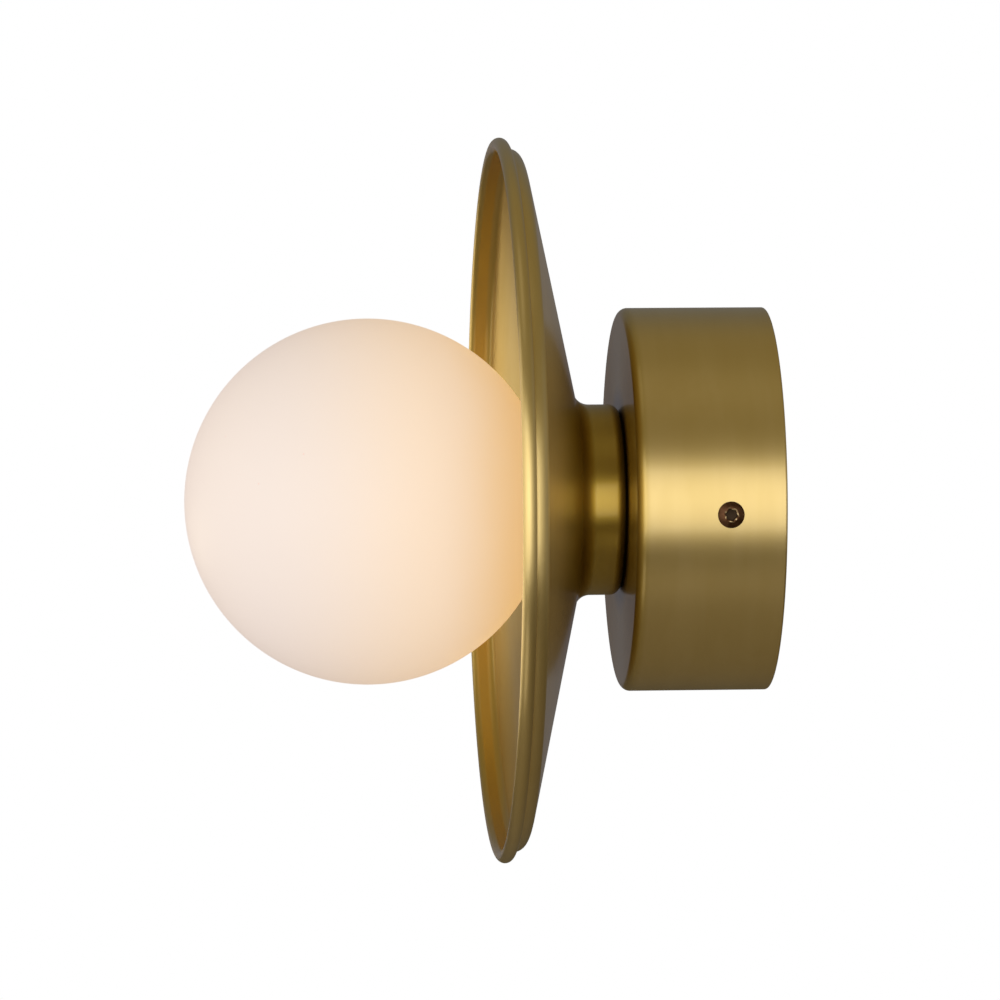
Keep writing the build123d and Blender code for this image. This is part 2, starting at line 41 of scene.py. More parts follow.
mm = 0.001  # sizes of the pieces are in millimetres: out from the lamp's axis, and off the wall along -y


# Profiles: lists of stretches, each an array of points (radius, off the wall) with a normal for every point.
# The metal or glass is always on the left of the way.

def lineStretch(start, end, steps, even=False):
    # straight run; its points crowd towards both ends, as the cosine of an even angle, or lie evenly
    share = np.linspace(0, 1, steps + 1) if even else (1 - np.cos(np.linspace(0, math.pi, steps + 1))) / 2
    start, end = np.array(start, float), np.array(end, float)
    along = (end - start) / np.linalg.norm(end - start)
    return start + share[:, None] * (end - start), np.tile([along[1], -along[0]], (steps + 1, 1))


def arcStretch(centre, radius, startAngle, endAngle, stepDegrees=5.0):
    # circle about a centre; its normal points out where the way turns left, and in where it turns right
    steps = max(2, math.ceil(abs(endAngle - startAngle) / stepDegrees))
    angle = np.radians(np.linspace(startAngle, endAngle, steps + 1))
    outward = np.stack([np.cos(angle), np.sin(angle)], 1)
    return np.array(centre) + radius * outward, outward * np.sign(endAngle - startAngle)


def roundedRun(corners, lineSteps):
    # straight runs from corner to corner; each corner (radius, off the wall, rounding) is cut by the arc
    # that touches both runs
    points = np.array([corner[:2] for corner in corners], float)
    stretches, here = [], points[0]
    for before, corner, after, rounding in zip(points, points[1:], points[2:], [c[2] for c in corners[1:]]):
        back = (before - corner) / np.linalg.norm(before - corner)
        ahead = (after - corner) / np.linalg.norm(after - corner)
        turn = math.pi - math.acos(float(np.clip(back @ ahead, -1, 1)))
        cut = rounding * math.tan(turn / 2)
        middle = (back + ahead) / np.linalg.norm(back + ahead)
        centre = corner + middle * rounding / math.cos(turn / 2)
        spoke = corner + back * cut - centre
        startAngle = math.degrees(math.atan2(spoke[1], spoke[0]))
        leftTurn = back[1] * ahead[0] - back[0] * ahead[1]  # above nothing where the way turns left
        swing = math.copysign(math.degrees(turn), leftTurn)
        stretches.append(lineStretch(here, corner + back * cut, lineSteps))
        stretches.append(arcStretch(centre, rounding, startAngle, startAngle + swing))
        here = corner + ahead * cut
    stretches.append(lineStretch(here, points[-1], lineSteps))
    return stretches


# Meshes

def meshFrom(name, vertices, corners, share, along, normal=None):
    # quads from whole arrays, with their own map: share of a turn, and metres along the profile;
    # a quad with two corners in one place is kept as a triangle
    keep = np.roll(corners, 1, axis=1) != corners
    counts = keep.sum(1)
    mesh = bpy.data.meshes.new(name)
    mesh.vertices.add(len(vertices))
    mesh.vertices.foreach_set("co", vertices.astype(np.float32).ravel())
    mesh.loops.add(int(counts.sum()))
    mesh.loops.foreach_set("vertex_index", corners[keep].astype(np.int32))
    mesh.polygons.add(len(counts))
    mesh.polygons.foreach_set("loop_start", (np.cumsum(counts) - counts).astype(np.int32))
    mesh.polygons.foreach_set("use_smooth", np.ones(len(counts), bool))
    turned = mesh.uv_layers.new(name="turned")
    turned.data.foreach_set("uv", np.stack([share[keep], along[keep]], 1).astype(np.float32).ravel())
    mesh.update(calc_edges=True)
    if normal is not None:
        mesh.normals_split_custom_set(normal[keep])
    return mesh


def gridCorners(rows, columns, closedRows):
    # the four corners of each quad of a grid that closes round the columns, and round the rows where told
    row = np.arange(rows if closedRows else rows - 1)[:, None]
    column = np.arange(columns)[None, :]
    nextRow, nextColumn = (row + 1) % rows, (column + 1) % columns
    pairs = ((row, column), (row, nextColumn), (nextRow, nextColumn), (nextRow, column))
    return np.stack([r * columns + c for r, c in pairs], 2).reshape(-1, 4)


def pinchPoles(vertices, corners, columns):
    # the first and the last ring lie on the axis, so each becomes one point
    last = len(vertices) - columns
    corners = np.where(corners < columns, columns - 1, np.where(corners >= last, last, corners))
    return vertices[columns - 1:last + 1], corners - (columns - 1)


def cornerMap(length, segments, columns):
    # each quad's corners on the map: shares of a turn, and lengths along the profile
    row, column = np.arange(segments)[:, None], np.arange(columns)[None, :]
    share = np.stack([(column + k) / columns + 0 * row for k in (0, 1, 1, 0)], 2).reshape(-1, 4)
    along = np.stack([length[row + k] + 0 * column for k in (0, 0, 1, 1)], 2).reshape(-1, 4)
    return share, along


def turnedMesh(name, stretches, columns, poles=False, swell=None):
    # surface of revolution: x = radius cos(angle), y = -off the wall, z = radius sin(angle);
    # swell(radius, off the wall, angle) gives the added radius on the whole grid, and is nought elsewhere
    points = np.concatenate([p[:-1] for p, _ in stretches] + ([stretches[-1][0][-1:]] if poles else []))
    starts = np.concatenate([n[:-1] for _, n in stretches])
    ends = np.concatenate([n[1:] for _, n in stretches])
    angle = np.arange(columns) * (2 * math.pi / columns)
    radius = np.repeat(points[:, :1], columns, 1)
    off = np.repeat(points[:, 1:], columns, 1)
    added = np.zeros_like(radius) if swell is None else swell(radius, off, angle[None, :])
    wide = radius + added
    vertices = np.stack([wide * np.cos(angle), -off, wide * np.sin(angle)], 2).reshape(-1, 3) * mm
    corners = gridCorners(len(points), columns, not poles)
    loop = points if poles else np.append(points, points[:1], axis=0)
    length = np.append(0, np.cumsum(np.linalg.norm(np.diff(loop, axis=0), axis=1))) * mm
    share, along = cornerMap(length, len(starts), columns)
    normal = turnedNormals(starts, ends, angle)
    if swell is not None:
        normal = swelledNormals(normal, corners, added, wide, off, angle)
    if poles:
        vertices, corners = pinchPoles(vertices, corners, columns)
    return meshFrom(name, vertices, corners, share, along, normal)


def turnedNormals(starts, ends, angle):
    # each quad's corner normals: the profile's own normals, turned to the corner's angle
    columns = len(angle)
    flat = np.stack([np.repeat(n[:, None], columns, 1) for n in (starts, starts, ends, ends)], 2)
    turn = np.stack([np.roll(angle, -k) for k in (0, 1, 1, 0)], 1)[None]
    out, off = flat[..., 0], flat[..., 1]
    return np.stack([out * np.cos(turn), -off, out * np.sin(turn)], 3).reshape(-1, 4, 3)


def swelledNormals(normal, corners, added, wide, off, angle):
    # where the radius swells: one outwards, less its slope along the axis, less its slope round the axis
    step = np.gradient(off, axis=0)
    rise = np.gradient(wide, axis=0) / np.where(step == 0, 1, step)
    around = (np.roll(wide, -1, 1) - np.roll(wide, 1, 1)) / (2 * (angle[1] - angle[0]) * np.maximum(wide, 1))
    cos, sin = np.cos(angle)[None, :], np.sin(angle)[None, :]
    bent = np.stack([cos + around * sin, rise, sin - around * cos], 2)
    bent /= np.linalg.norm(bent, axis=2, keepdims=True)
    raised = (added > 0).any(1)
    raised = (raised | np.roll(raised, 1) | np.roll(raised, -1))[:, None] & np.ones(added.shape, bool)
    use = raised.ravel()[corners]
    return np.where(use[..., None], bent.reshape(-1, 3)[corners], normal)


def newObject(name, data):
    thing = bpy.data.objects.new(name, data)
    bpy.context.scene.collection.objects.link(thing)
    return thing


def addPiece(name, mesh, body, node, material):
    piece = newObject(name, mesh)
    mesh.materials.append(material)
    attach(piece, body)
    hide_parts(node)
    print(name, "has", len(mesh.polygons), "faces")


# Node helpers

class nodeSheet:
    # a node tree, with short calls that add a node and join it up
    def __init__(self, tree):
        self.tree = tree

    def add(self, kind, inputs=None, **settings):
        node = self.tree.nodes.new(kind)
        for key, value in settings.items():
            setattr(node, key, value)
        for key, value in (inputs or {}).items():
            self.plug(node.inputs[key], value)
        return node

    def plug(self, socket, value):
        if isinstance(value, bpy.types.NodeSocket):
            self.tree.links.new(value, socket)
        else:
            socket.default_value = value

    def maths(self, operation, a, b=0.0):
        return self.add("ShaderNodeMath", {0: a, 1: b}, operation=operation).outputs[0]

    def mixed(self, factor, a, b):
        node = self.add("ShaderNodeMix", data_type="RGBA")
        for key, value in ((0, factor), (6, a), (7, b)):
            self.plug(node.inputs[key], value)
        return node.outputs[2]

    def span(self, value, low, high, toLow=0.0, toHigh=1.0, soft=True):
        ends = {"Value": value, "From Min": low, "From Max": high, "To Min": toLow, "To Max": toHigh}
        return self.add("ShaderNodeMapRange", ends,
                        interpolation_type="SMOOTHSTEP" if soft else "LINEAR").outputs[0]

    def noise(self, vector, scale, detail=3.0, roughness=0.5):
        return self.add("ShaderNodeTexNoise", {"Vector": vector, "Scale": scale, "Detail": detail,
                                               "Roughness": roughness}).outputs["Fac"]

    def parts(self, vector):
        return self.add("ShaderNodeSeparateXYZ", {0: vector}).outputs

    def joined(self, x, y, z):
        return self.add("ShaderNodeCombineXYZ", {0: x, 1: y, 2: z}).outputs[0]

    def bump(self, height, strength, distance):
        return self.add("ShaderNodeBump", {"Height": height, "Strength": strength,
                                           "Distance": distance}).outputs["Normal"]

    def place(self):
        return self.add("ShaderNodeTexCoord").outputs["Object"]

    def axisDistance(self, place):
        # how far a point lies from the lamp's axis: the root of x squared plus z squared
        x, _, z = self.parts(place)
        squares = [self.maths("MULTIPLY", part, part) for part in (x, z)]
        return self.maths("SQRT", self.maths("ADD", *squares))

    def offWall(self, place):
        # how far a point stands off the wall: y with its sign turned
        return self.maths("MULTIPLY", self.parts(place)["Y"], -1.0)

    def group(self, tree, **inputs):
        node = self.add("ShaderNodeGroup", node_tree=tree)
        for key, value in inputs.items():
            self.plug(node.inputs[key], value)
        return node.outputs


def emptySheet(owner):
    owner.use_nodes = True
    owner.node_tree.nodes.clear()
    return nodeSheet(owner.node_tree)


def newMaterial(name, constants):
    # a material with one Principled shader, whose plain values are set on its own sockets
    material = bpy.data.materials.new(name)
    sheet = emptySheet(material)
    shader = sheet.add("ShaderNodeBsdfPrincipled", constants)
    sheet.add("ShaderNodeOutputMaterial", {"Surface": shader.outputs["BSDF"]})
    return material, sheet, shader.inputs


def newGroup(name, inputs, outputs):
    tree = bpy.data.node_groups.new(name, "ShaderNodeTree")
    for label in inputs:
        kind = "NodeSocketVector" if label == "place" else "NodeSocketFloat"
        tree.interface.new_socket(label, in_out="INPUT", socket_type=kind)
    for label in outputs:
        tree.interface.new_socket(label, in_out="OUTPUT", socket_type="NodeSocketFloat")
    sheet = nodeSheet(tree)
    return tree, sheet, sheet.add("NodeGroupInput").outputs, sheet.add("NodeGroupOutput").inputs


# Shared effects. A noise is given by its scale, detail and roughness; most of its values lie in noiseSpread.
# A span is given by where it starts and ends and, where needed, by what it gives there.

noiseSpread = (0.3, 0.7)
latheLook = dict(rings=(1.0, 4.0, 0.65), bands=(1.0, 2.0), bandShare=0.07, smudge=(34.0, 4.0, 0.6))
grainDetail = dict(cloud=3.0, tooth=2.0)


def makeLatheMarks():
    # rings left by the spinning tool and the scouring pad: noise that is long round the axis and short
    # along the profile
    inputs = ("along", "place", "ringsPerMetre", "patchesPerMetre")
    tree, sheet, given, result = newGroup("latheMarks", inputs, ("rings", "bands", "smudge"))
    across = sheet.parts(given["place"])
    wobble = [sheet.maths("MULTIPLY", across[axis], given["patchesPerMetre"]) for axis in ("X", "Z")]
    line = sheet.maths("MULTIPLY", given["along"], given["ringsPerMetre"])
    fine = sheet.joined(line, *wobble)
    broad = sheet.joined(sheet.maths("MULTIPLY", line, latheLook["bandShare"]), *wobble)
    sheet.plug(result["rings"], sheet.noise(fine, *latheLook["rings"]))
    sheet.plug(result["bands"], sheet.noise(broad, *latheLook["bands"]))
    sheet.plug(result["smudge"], sheet.noise(given["place"], *latheLook["smudge"]))
    return tree


def makeFineGrain():
    # cloudy tone and a fine tooth, for moulded, fired and plated surfaces
    inputs = ("place", "cloudScale", "toothScale")
    tree, sheet, given, result = newGroup("fineGrain", inputs, ("cloud", "tooth"))
    sheet.plug(result["cloud"], sheet.noise(given["place"], given["cloudScale"], grainDetail["cloud"]))
    sheet.plug(result["tooth"], sheet.noise(given["place"], given["toothScale"], grainDetail["tooth"]))
    return tree


latheMarks = makeLatheMarks()
fineGrain = makeFineGrain()
print("shared effects ready")


# Spun brass, for the dish and the canopy: satin, rubbed round the axis, under a thin clear lacquer; tarnish
# with painted shade in the deep place between the two, a painted shadow in their joint, and painted shade
# with tarnish inside the dish's rim

brassLook = dict(base=(0.80, 0.595, 0.232, 1), pale=(0.83, 0.625, 0.257, 1), dull=(0.76, 0.55, 0.20, 1),
                 deep=(0.59, 0.405, 0.065, 1), deepNear=0.040, deepFar=0.105, deepOff=(0.044, 0.0475),
                 jointShadow=(0.085, 0.04, 0.009, 1), jointShadowOff=(0.0488, 0.0496), jointShadowReach=(0.030, 0.040),
                 rim=(0.71, 0.485, 0.115, 1), rimShadeStart=(0.0085, 0.0105), rimShadeEnd=(0.0165, 0.0200),
                 paleBands=(0.35, 0.7), dullPatches=(0.5, 0.8, 0.0, 0.6), paleRings=(0.55, 0.8, 0.0, 0.35),
                 wornPatches=(0.4, 0.75), roughness=0.38, swing=0.03, brushed=0.7, brushTurn=0.25,
                 lacquer=0.5, lacquerRoughness=0.12, ringsPerMetre=1700.0, patchesPerMetre=20.0,
                 ringDepth=0.00001, ringStrength=0.05)


def makeSpunBrass():
    look = brassLook
    material, sheet, shader = newMaterial("spunBrass", {"Metallic": 1.0, "Coat Weight": look["lacquer"],
                                                        "Coat Roughness": look["lacquerRoughness"],
                                                        "Anisotropic": look["brushed"],
                                                        "Anisotropic Rotation": look["brushTurn"]})
    along = sheet.parts(sheet.add("ShaderNodeUVMap", uv_map="turned").outputs[0])["Y"]
    place = sheet.place()
    marks = sheet.group(latheMarks, along=along, place=place, ringsPerMetre=look["ringsPerMetre"],
                        patchesPerMetre=look["patchesPerMetre"])
    tone = sheet.mixed(sheet.span(marks["bands"], *look["paleBands"]), look["base"], look["pale"])
    tone = sheet.mixed(sheet.span(marks["smudge"], *look["dullPatches"]), tone, look["dull"])
    tone = sheet.mixed(sheet.span(marks["rings"], *look["paleRings"]), tone, look["pale"])
    distance = sheet.axisDistance(place)
    # tarnish with painted shade: the brass turns a darker gold near the axis, between the dish's cup and the
    # canopy's face, where shade falls
    nearAxis = sheet.span(distance, look["deepNear"], look["deepFar"], 1.0, 0.0)
    off = sheet.offWall(place)
    tarnishShadeMask = sheet.maths("MULTIPLY", nearAxis, sheet.span(off, *look["deepOff"]))
    tone = sheet.mixed(tarnishShadeMask, tone, look["deep"])
    # painted shadow: near-black brass in the joint where the dish's cup meets the canopy's face
    jointShadowMask = sheet.maths("MULTIPLY", sheet.span(off, *look["jointShadowOff"], 1.0, 0.0),
                          sheet.span(distance, *look["jointShadowReach"], 1.0, 0.0))
    tone = sheet.mixed(jointShadowMask, tone, look["jointShadow"])
    # painted shade with tarnish: a darker, more saturated gold over the bead's inner half and the rim's inner
    # wall, in the corner between lip and cone
    pastLip = sheet.span(along, *look["rimShadeStart"])
    beforeCone = sheet.span(along, *look["rimShadeEnd"], 1.0, 0.0)
    rimShadeMask = sheet.maths("MULTIPLY", pastLip, beforeCone)
    sheet.plug(shader["Base Color"], sheet.mixed(rimShadeMask, tone, look["rim"]))
    smooth, swing = look["roughness"], look["swing"]
    worn = sheet.span(marks["smudge"], *look["wornPatches"], smooth, smooth + swing, False)
    ringed = sheet.span(marks["rings"], *noiseSpread, -swing / 2, swing / 2, False)
    sheet.plug(shader["Roughness"], sheet.maths("ADD", worn, ringed))
    sheet.plug(shader["Normal"], sheet.bump(marks["rings"], look["ringStrength"], look["ringDepth"]))
    around = sheet.add("ShaderNodeTangent", direction_type="UV_MAP", uv_map="turned").outputs[0]
    sheet.plug(shader["Tangent"], around)
    return material


# Opal glass, lit from inside: pale towards the room and warm towards the dish, where the glow also carries
# painted warm light reflected from the brass, with faint cloud and seeds

opalLook = dict(glass=(0.62, 0.588, 0.553, 1), seed=(0.40, 0.34, 0.28, 1), frontGlow=(0.81, 0.66, 0.612, 1),
                middleGlow=(1.0, 0.735, 0.53, 1), backGlowAndBrassLight=(0.98, 0.60, 0.262, 1), glowStrength=0.605,
                frontOff=0.172, middleOff=0.112, backOff=0.078, cloudScale=18.0, toothScale=900.0,
                drift=0.003, toothStrength=0.05, toothDepth=0.00003, seedScale=70.0, seedSize=0.035,
                seedShare=0.5, gloss=(0.36, 0.46), ior=1.2)


def makeOpalGlass():
    look = opalLook
    material, sheet, shader = newMaterial("opalGlass", {"IOR": look["ior"],
                                                        "Emission Strength": look["glowStrength"]})
    place = sheet.place()
    grain = sheet.group(fineGrain, place=place, cloudScale=look["cloudScale"], toothScale=look["toothScale"])
    drift = sheet.span(grain["cloud"], *noiseSpread, -look["drift"], look["drift"], False)
    off = sheet.maths("ADD", sheet.offWall(place), drift)
    front = sheet.span(off, look["middleOff"], look["frontOff"])
    glow = sheet.mixed(front, look["middleGlow"], look["frontGlow"])
    # towards the dish the glow turns orange: the globe's own glow, with painted warm light reflected from the
    # brass dish
    glow = sheet.mixed(sheet.span(off, look["backOff"], look["middleOff"]), look["backGlowAndBrassLight"], glow)
    sheet.plug(shader["Emission Color"], glow)
    seeds = sheet.add("ShaderNodeTexVoronoi", {"Vector": place, "Scale": look["seedScale"]})
    speck = sheet.span(seeds.outputs["Distance"], 0.0, look["seedSize"], look["seedShare"], 0.0)
    sheet.plug(shader["Base Color"], sheet.mixed(speck, look["glass"], look["seed"]))
    sheet.plug(shader["Roughness"], sheet.span(grain["cloud"], *noiseSpread, *look["gloss"], False))
    sheet.plug(shader["Normal"], sheet.bump(grain["tooth"], look["toothStrength"], look["toothDepth"]))
    return material


# Dark bronze of the canopy screws: browned heads, sockets darkened with soot and painted shade, and bare
# metal rubbed bright at their edges;
# the value on the mesh goes from nothing in the darkened socket to a half on the head and one at the bare
# edge

bronzeLook = dict(sootAndShade=(0.032, 0.019, 0.010, 1), brown=(0.085, 0.037, 0.016, 1),
                  rubbed=(0.155, 0.070, 0.032, 1), bright=(0.60, 0.45, 0.24, 1), metal=0.9, sootAndShadeTo=0.4,
                  brightFrom=0.6, gloss=(0.26, 0.40), cloudScale=420.0, rubbedCloud=(0.4, 0.7),
                  toothScale=2600.0, toothStrength=0.4, toothDepth=0.00004, fleck=(900.0, 2.0),
                  fleckEdge=(0.47, 0.58))


def makeDarkBronze():
    look = bronzeLook
    material, sheet, shader = newMaterial("darkBronze", {"Metallic": look["metal"]})
    place = sheet.place()
    grain = sheet.group(fineGrain, place=place, cloudScale=look["cloudScale"], toothScale=look["toothScale"])
    wearAndShade = sheet.add("ShaderNodeAttribute", attribute_name="wearAndShade").outputs["Fac"]
    tone = sheet.mixed(sheet.span(grain["cloud"], *look["rubbedCloud"]), look["brown"], look["rubbed"])
    # the darkest tone sits in the socket: soot with painted shade in the recess
    tone = sheet.mixed(sheet.span(wearAndShade, 0.0, look["sootAndShadeTo"]), look["sootAndShade"], tone)
    flecks = sheet.span(sheet.noise(place, *look["fleck"]), *look["fleckEdge"])
    bare = sheet.maths("MULTIPLY", flecks, sheet.span(wearAndShade, look["brightFrom"], 1.0))
    sheet.plug(shader["Base Color"], sheet.mixed(bare, tone, look["bright"]))
    sheet.plug(shader["Roughness"], sheet.span(grain["cloud"], *noiseSpread, *look["gloss"], False))
    sheet.plug(shader["Normal"], sheet.bump(grain["tooth"], look["toothStrength"], look["toothDepth"]))
    return material


# Plain finishes: two tones in a cloud, gloss that follows it, and a fine tooth in relief

grainLooks = {
    "zincSteel": dict(tones=((0.55, 0.56, 0.55), (0.66, 0.65, 0.60)), gloss=(0.26, 0.44), cloud=140.0,
                      tooth=2600.0, depth=0.00002, metal=1.0),
    "nickel": dict(tones=((0.66, 0.63, 0.58), (0.58, 0.55, 0.50)), gloss=(0.18, 0.32), cloud=260.0,
                   tooth=2400.0, depth=0.00001, metal=1.0),
    "holderCeramic": dict(tones=((0.80, 0.78, 0.73), (0.73, 0.70, 0.64)), gloss=(0.55, 0.75), cloud=300.0,
                          tooth=2800.0, depth=0.00005, metal=0.0),
    "silicone": dict(tones=((0.72, 0.71, 0.68), (0.66, 0.65, 0.62)), gloss=(0.60, 0.75), cloud=160.0,
                     tooth=1600.0, depth=0.00003, metal=0.0),
    "whitePlastic": dict(tones=((0.80, 0.80, 0.78), (0.75, 0.75, 0.73)), gloss=(0.34, 0.46), cloud=90.0,
                         tooth=2200.0, depth=0.00002, metal=0.0),
    "naturalNylon": dict(tones=((0.72, 0.70, 0.63), (0.66, 0.64, 0.56)), gloss=(0.40, 0.55), cloud=120.0,
                         tooth=2000.0, depth=0.00003, metal=0.0),
    "blackNylon": dict(tones=((0.020, 0.020, 0.020), (0.035, 0.035, 0.034)), gloss=(0.45, 0.60), cloud=120.0,
                       tooth=2200.0, depth=0.00003, metal=0.0),
    "brownLead": dict(tones=((0.10, 0.042, 0.018), (0.13, 0.058, 0.026)), gloss=(0.36, 0.50), cloud=200.0,
                      tooth=2200.0, depth=0.00002, metal=0.0),
    "blueLead": dict(tones=((0.015, 0.07, 0.30), (0.02, 0.09, 0.36)), gloss=(0.36, 0.50), cloud=200.0,
                     tooth=2200.0, depth=0.00002, metal=0.0),
}
grainCloud = (0.35, 0.65)
grainStrength = 0.3


def makeGrainy(name):
    look = grainLooks[name]
    material, sheet, shader = newMaterial(name, {"Metallic": look["metal"]})
    grain = sheet.group(fineGrain, place=sheet.place(), cloudScale=look["cloud"], toothScale=look["tooth"])
    first, second = [(*tone, 1) for tone in look["tones"]]
    sheet.plug(shader["Base Color"], sheet.mixed(sheet.span(grain["cloud"], *grainCloud), first, second))
    sheet.plug(shader["Roughness"], sheet.span(grain["cloud"], *noiseSpread, *look["gloss"], False))
    sheet.plug(shader["Normal"], sheet.bump(grain["tooth"], grainStrength, look["depth"]))
    return material


# Turned brass of the gallery and the small clamps: plain tool rings about the lamp's axis

turnedLook = dict(base=(0.70, 0.49, 0.18, 1), pale=(0.80, 0.60, 0.26, 1), gloss=(0.22, 0.36),
                  ringsPerMetre=2600.0, patchesPerMetre=60.0, ringEdge=(0.4, 0.65), ringStrength=0.5,
                  ringDepth=0.00003)


def makeTurnedBrass():
    look = turnedLook
    material, sheet, shader = newMaterial("turnedBrass", {"Metallic": 1.0})
    place = sheet.place()
    along = sheet.maths("ADD", sheet.axisDistance(place), sheet.parts(place)["Y"])
    marks = sheet.group(latheMarks, along=along, place=place, ringsPerMetre=look["ringsPerMetre"],
                        patchesPerMetre=look["patchesPerMetre"])
    tone = sheet.mixed(sheet.span(marks["rings"], *look["ringEdge"]), look["base"], look["pale"])
    sheet.plug(shader["Base Color"], tone)
    sheet.plug(shader["Roughness"], sheet.span(marks["smudge"], *noiseSpread, *look["gloss"], False))
    sheet.plug(shader["Normal"], sheet.bump(marks["rings"], look["ringStrength"], look["ringDepth"]))
    return material


# The bulb: clear glass round a post of light chips

bulbLook = dict(glass=(0.96, 0.97, 0.97, 1), film=(0.90, 0.91, 0.90, 1), filmCloud=(0.45, 0.75),
                glossCloud=(0.35, 0.75), gloss=(0.03, 0.10), ior=1.47, cloudScale=120.0, toothScale=900.0,
                toothStrength=0.1, toothDepth=0.00002)
ledLook = dict(board=(0.80, 0.79, 0.74, 1), chip=(0.85, 0.60, 0.10, 1), glow=(1.0, 0.72, 0.34, 1),
               boardPaintedGlow=(0.25, 0.18, 0.09, 1), glowStrength=1.2, roughness=0.45, sides=6, chipPitch=0.004,
               acrossEdge=(0.2, 0.26), alongEdge=(0.12, 0.18), chipGrain=800.0, chipTone=(0.85, 1.0))


def makeBulbGlass():
    look = bulbLook
    material, sheet, shader = newMaterial("bulbGlass", {"Transmission Weight": 1.0, "IOR": look["ior"]})
    grain = sheet.group(fineGrain, place=sheet.place(), cloudScale=look["cloudScale"],
                        toothScale=look["toothScale"])
    tone = sheet.mixed(sheet.span(grain["cloud"], *look["filmCloud"]), look["glass"], look["film"])
    sheet.plug(shader["Base Color"], tone)
    sheet.plug(shader["Roughness"], sheet.span(grain["cloud"], *look["glossCloud"], *look["gloss"], False))
    sheet.plug(shader["Normal"], sheet.bump(grain["tooth"], look["toothStrength"], look["toothDepth"]))
    return material


def makeLedStrip():
    # chips in the middle of each side, in even rows along the post
    look = ledLook
    material, sheet, shader = newMaterial("ledStrip", {"Emission Strength": look["glowStrength"],
                                                       "Roughness": look["roughness"]})
    place = sheet.place()
    x, y, z = sheet.parts(place)
    turn = sheet.maths("DIVIDE", sheet.maths("ARCTAN2", z, x), 2 * math.pi / look["sides"])
    acrossSide = sheet.maths("PINGPONG", sheet.maths("ADD", turn, 0.5 * look["sides"]), 0.5)
    alongPost = sheet.maths("PINGPONG", sheet.maths("DIVIDE", y, look["chipPitch"]), 0.5)
    middle = sheet.maths("MULTIPLY", sheet.span(acrossSide, *look["acrossEdge"]),
                         sheet.span(alongPost, *look["alongEdge"]))
    phosphor = sheet.span(sheet.noise(place, look["chipGrain"]), *noiseSpread, *look["chipTone"])
    chip = sheet.maths("MULTIPLY", middle, phosphor)
    sheet.plug(shader["Base Color"], sheet.mixed(chip, look["board"], look["chip"]))
    # the board between the chips glows too: painted glow of the chips' light on the board
    sheet.plug(shader["Emission Color"], sheet.mixed(chip, look["boardPaintedGlow"], look["glow"]))
    return material


# The earth lead's green cover with its yellow stripes

earthLook = dict(green=(0.02, 0.20, 0.03, 1), yellow=(0.70, 0.55, 0.02, 1), stripesPerMetre=170.0,
                 stripeEdge=(0.24, 0.28), slant=1.7, gloss=(0.36, 0.50), cloudScale=160.0, toothScale=2200.0,
                 toothStrength=0.3, toothDepth=0.00002)


def makeEarthLead():
    look = earthLook
    material, sheet, shader = newMaterial("earthLead", {})
    place = sheet.place()
    grain = sheet.group(fineGrain, place=place, cloudScale=look["cloudScale"], toothScale=look["toothScale"])
    x, y, z = sheet.parts(place)
    slant = sheet.maths("ADD", sheet.maths("ADD", x, y), sheet.maths("MULTIPLY", z, look["slant"]))
    stripe = sheet.maths("PINGPONG", sheet.maths("MULTIPLY", slant, look["stripesPerMetre"]), 0.5)
    tone = sheet.mixed(sheet.span(stripe, *look["stripeEdge"]), look["green"], look["yellow"])
    sheet.plug(shader["Base Color"], tone)
    sheet.plug(shader["Roughness"], sheet.span(grain["cloud"], *noiseSpread, *look["gloss"], False))
    sheet.plug(shader["Normal"], sheet.bump(grain["tooth"], look["toothStrength"], look["toothDepth"]))
    return material


spunBrass = makeSpunBrass()
opalGlass = makeOpalGlass()
darkBronze = makeDarkBronze()
turnedBrass = makeTurnedBrass()
bulbGlass = makeBulbGlass()
ledStrip = makeLedStrip()
earthLead = makeEarthLead()
grainy = {name: makeGrainy(name) for name in grainLooks}
print("materials ready")


# The canopy: a deep cup on the wall, its front edge rounded and its back edge eased

canopySize = dict(radius=63.5, depth=48.5, wall=1.2, front=3.0, frontInside=0.8, edge=0.8, hole=5.2,
                  ease=0.2, columns=288, lineSteps=16)


def makeCanopy():
    s = canopySize
    inside, back, hole = s["radius"] - s["wall"], s["depth"] - s["wall"], s["hole"]
    halfWay = s["depth"] - s["wall"] / 2
    run = roundedRun([(hole, halfWay, 0), (hole, back, s["ease"]), (inside, back, s["frontInside"]),
                      (inside, 0, s["ease"]), (s["radius"], 0, s["edge"]),
                      (s["radius"], s["depth"], s["front"]), (hole, s["depth"], s["ease"]),
                      (hole, halfWay, 0)], s["lineSteps"])
    mesh = turnedMesh("canopyCup", run, s["columns"])
    addPiece("canopyCup", mesh, "fixture", "canopy", spunBrass)


makeCanopy()


# The dish: cup, cone, shoulder and rim of one sheet, with a round bead rolled at the lip

dishSize = dict(radius=120.0, wall=1.0, face=48.5, cupRadius=31.6, cupHeight=14.4, cupCorner=3.6,
                cupFillet=5.5, coneDegrees=12.7, shoulder=4.0, lipHeight=5.9, bead=2.3, hole=5.2, ease=0.2,
                columns=320, lineSteps=12)


